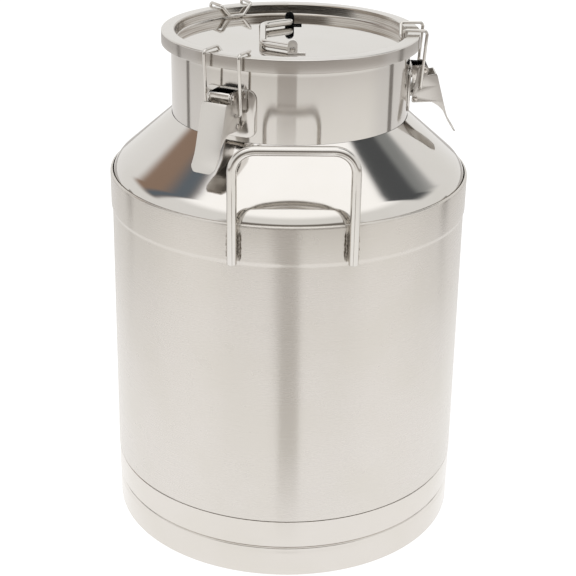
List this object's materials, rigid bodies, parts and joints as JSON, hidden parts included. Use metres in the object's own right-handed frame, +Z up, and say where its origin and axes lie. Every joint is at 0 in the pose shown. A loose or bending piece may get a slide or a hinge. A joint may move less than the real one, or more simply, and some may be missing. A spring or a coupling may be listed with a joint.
{
  "type": "milk can",
  "caption": "Cylindrical stainless milk can with conical shoulder and neck, clamped recessed lid with folding handle, toggle latches with wire bails, side lifting handles and foot ring.",
  "frame": {"origin": "middle of the foot ring's underside, on the floor", "axes": "+Z up along the can; the lifting handles face -Y (front) and +Y (back); one latch is on +X"},
  "size_m": [0.3528, 0.3528, 0.5057],
  "materials": {
    "barrel_steel": "fine satin brushed stainless steel",
    "shoulder_steel": "polished stainless steel",
    "lid_steel": "polished stainless steel",
    "base_steel": "satin stainless steel",
    "handle_steel": "polished stainless rod",
    "latch_steel": "bright pressed stainless sheet",
    "wire_steel": "bright sprung stainless wire",
    "weld_steel": "cleaned weld metal",
    "gasket_rubber": "matt black food-grade rubber"
  },
  "bodies": {
    "can": {"barrel": "barrel_steel", "base_pan": "base_steel", "foot_ring": "base_steel", "latch_bracket_back_left": "latch_steel", "latch_bracket_front_left": "latch_steel", "latch_bracket_right": "latch_steel", "latch_pivot_pin_back_left": "latch_steel", "latch_pivot_pin_front_left": "latch_steel", "latch_pivot_pin_right": "latch_steel", "latch_plate_back_left": "latch_steel", "latch_plate_front_left": "latch_steel", "latch_plate_right": "latch_steel", "neck": "shoulder_steel", "shoulder": "shoulder_steel", "side_handle_back": "handle_steel", "side_handle_back_weld_left_inner": "weld_steel", "side_handle_back_weld_left_outer": "weld_steel", "side_handle_back_weld_right_inner": "weld_steel", "side_handle_back_weld_right_outer": "weld_steel", "side_handle_front": "handle_steel", "side_handle_front_weld_left_inner": "weld_steel", "side_handle_front_weld_left_outer": "weld_steel", "side_handle_front_weld_right_inner": "weld_steel", "side_handle_front_weld_right_outer": "weld_steel"},
    "lid": {"lid": "lid_steel", "lid_gasket": "gasket_rubber", "lid_lug_front": "handle_steel", "lid_lug_back": "handle_steel"},
    "lid_handle": {"lid_handle": "handle_steel"},
    "lever_front_left": {"latch_lever_front_left": "latch_steel", "latch_rivet_front_left": "latch_steel"},
    "bail_front_left": {"latch_bail_front_left": "wire_steel"},
    "lever_right": {"latch_lever_right": "latch_steel", "latch_rivet_right": "latch_steel"},
    "bail_right": {"latch_bail_right": "wire_steel"},
    "lever_back_left": {"latch_lever_back_left": "latch_steel", "latch_rivet_back_left": "latch_steel"},
    "bail_back_left": {"latch_bail_back_left": "wire_steel"}
  },
  "joints": [
    {"name": "lid_turn", "type": "hinge", "parent": "can", "child": "lid", "pos_m": [0, 0, 0.489], "axis": [0, 0, 1], "continuous": true},
    {"name": "lid_handle_fold", "type": "hinge", "parent": "lid", "child": "lid_handle", "pos_m": [0, 0, 0.4931], "axis": [0, 1, 0], "range_deg": [0, 180]},
    {"name": "lever_open_front_left", "type": "hinge", "parent": "can", "child": "lever_front_left", "pos_m": [-0.06365, -0.11024, 0.4628], "axis": [-0.866, 0.5, 0], "range_deg": [0, 120]},
    {"name": "bail_swing_front_left", "type": "hinge", "parent": "lever_front_left", "child": "bail_front_left", "pos_m": [-0.062, -0.10739, 0.446], "axis": [-0.866, 0.5, 0], "range_deg": [-84, 0]},
    {"name": "lever_open_right", "type": "hinge", "parent": "can", "child": "lever_right", "pos_m": [0.1273, 0, 0.4628], "axis": [0, -1, 0], "range_deg": [0, 120]},
    {"name": "bail_swing_right", "type": "hinge", "parent": "lever_right", "child": "bail_right", "pos_m": [0.124, 0, 0.446], "axis": [0, -1, 0], "range_deg": [-84, 0]},
    {"name": "lever_open_back_left", "type": "hinge", "parent": "can", "child": "lever_back_left", "pos_m": [-0.06365, 0.11024, 0.4628], "axis": [0.866, 0.5, 0], "range_deg": [0, 120]},
    {"name": "bail_swing_back_left", "type": "hinge", "parent": "lever_back_left", "child": "bail_back_left", "pos_m": [-0.062, 0.10739, 0.446], "axis": [0.866, 0.5, 0], "range_deg": [-84, 0]}
  ],
  "couplings": [
    {"joint": "bail_swing_front_left", "follows": "lever_open_front_left", "ratio": -0.7},
    {"joint": "bail_swing_right", "follows": "lever_open_right", "ratio": -0.7},
    {"joint": "bail_swing_back_left", "follows": "lever_open_back_left", "ratio": -0.7}
  ]
}
